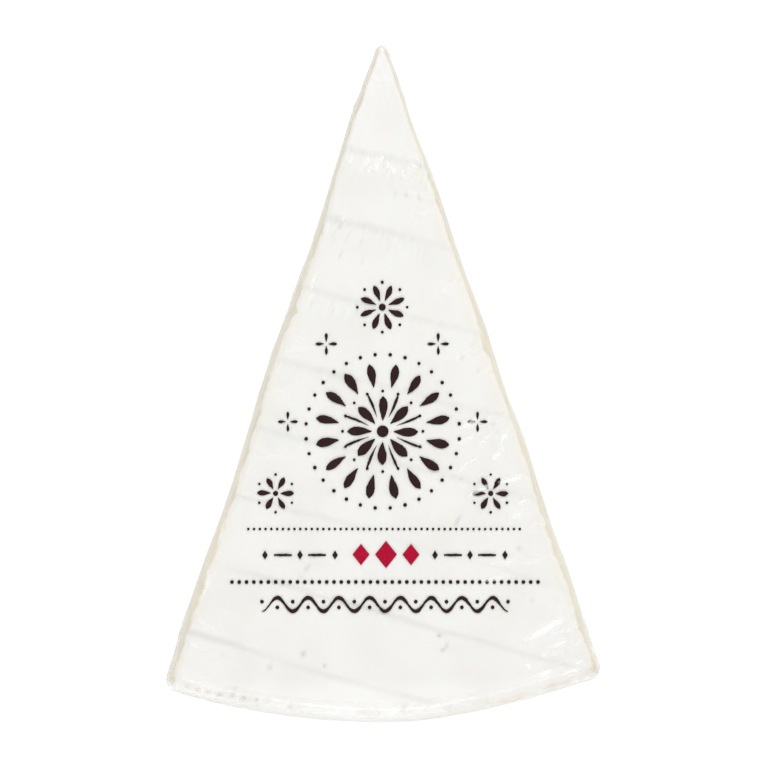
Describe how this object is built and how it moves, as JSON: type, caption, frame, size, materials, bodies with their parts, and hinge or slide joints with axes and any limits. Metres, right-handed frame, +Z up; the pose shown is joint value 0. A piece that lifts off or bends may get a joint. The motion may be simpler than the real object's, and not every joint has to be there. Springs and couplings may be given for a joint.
{
  "type": "wrapped brie wedge",
  "caption": "Narrow wedge of white-rinded soft cheese in tight clear printed film, lying flat with its rack-marked rind up.",
  "frame": {"origin": "middle of the bounding box of the wedge, on the surface that it lies on", "axes": "+Z up out of the upper rind, +Y towards the narrow tip, -Y towards the curved rim"},
  "size_m": [0.0998, 0.1556, 0.0304],
  "materials": {
    "rind": "matt, velvety white mould, faintly cream, with faint grey rack lines and pinkish tan pits",
    "paste": "cream-coloured cut paste, satin and a little waxy, showing as a pale band along both cut edges",
    "film": "clear glossy food film, stretched tight, with fine creases and folded ends",
    "dark_ink": "brown-black printing ink, flat with a slight sheen",
    "crimson_ink": "crimson printing ink, flat with a slight sheen"
  },
  "bodies": {
    "root": {"wrapped_brie_wedge": "rind"}
  },
  "joints": []
}
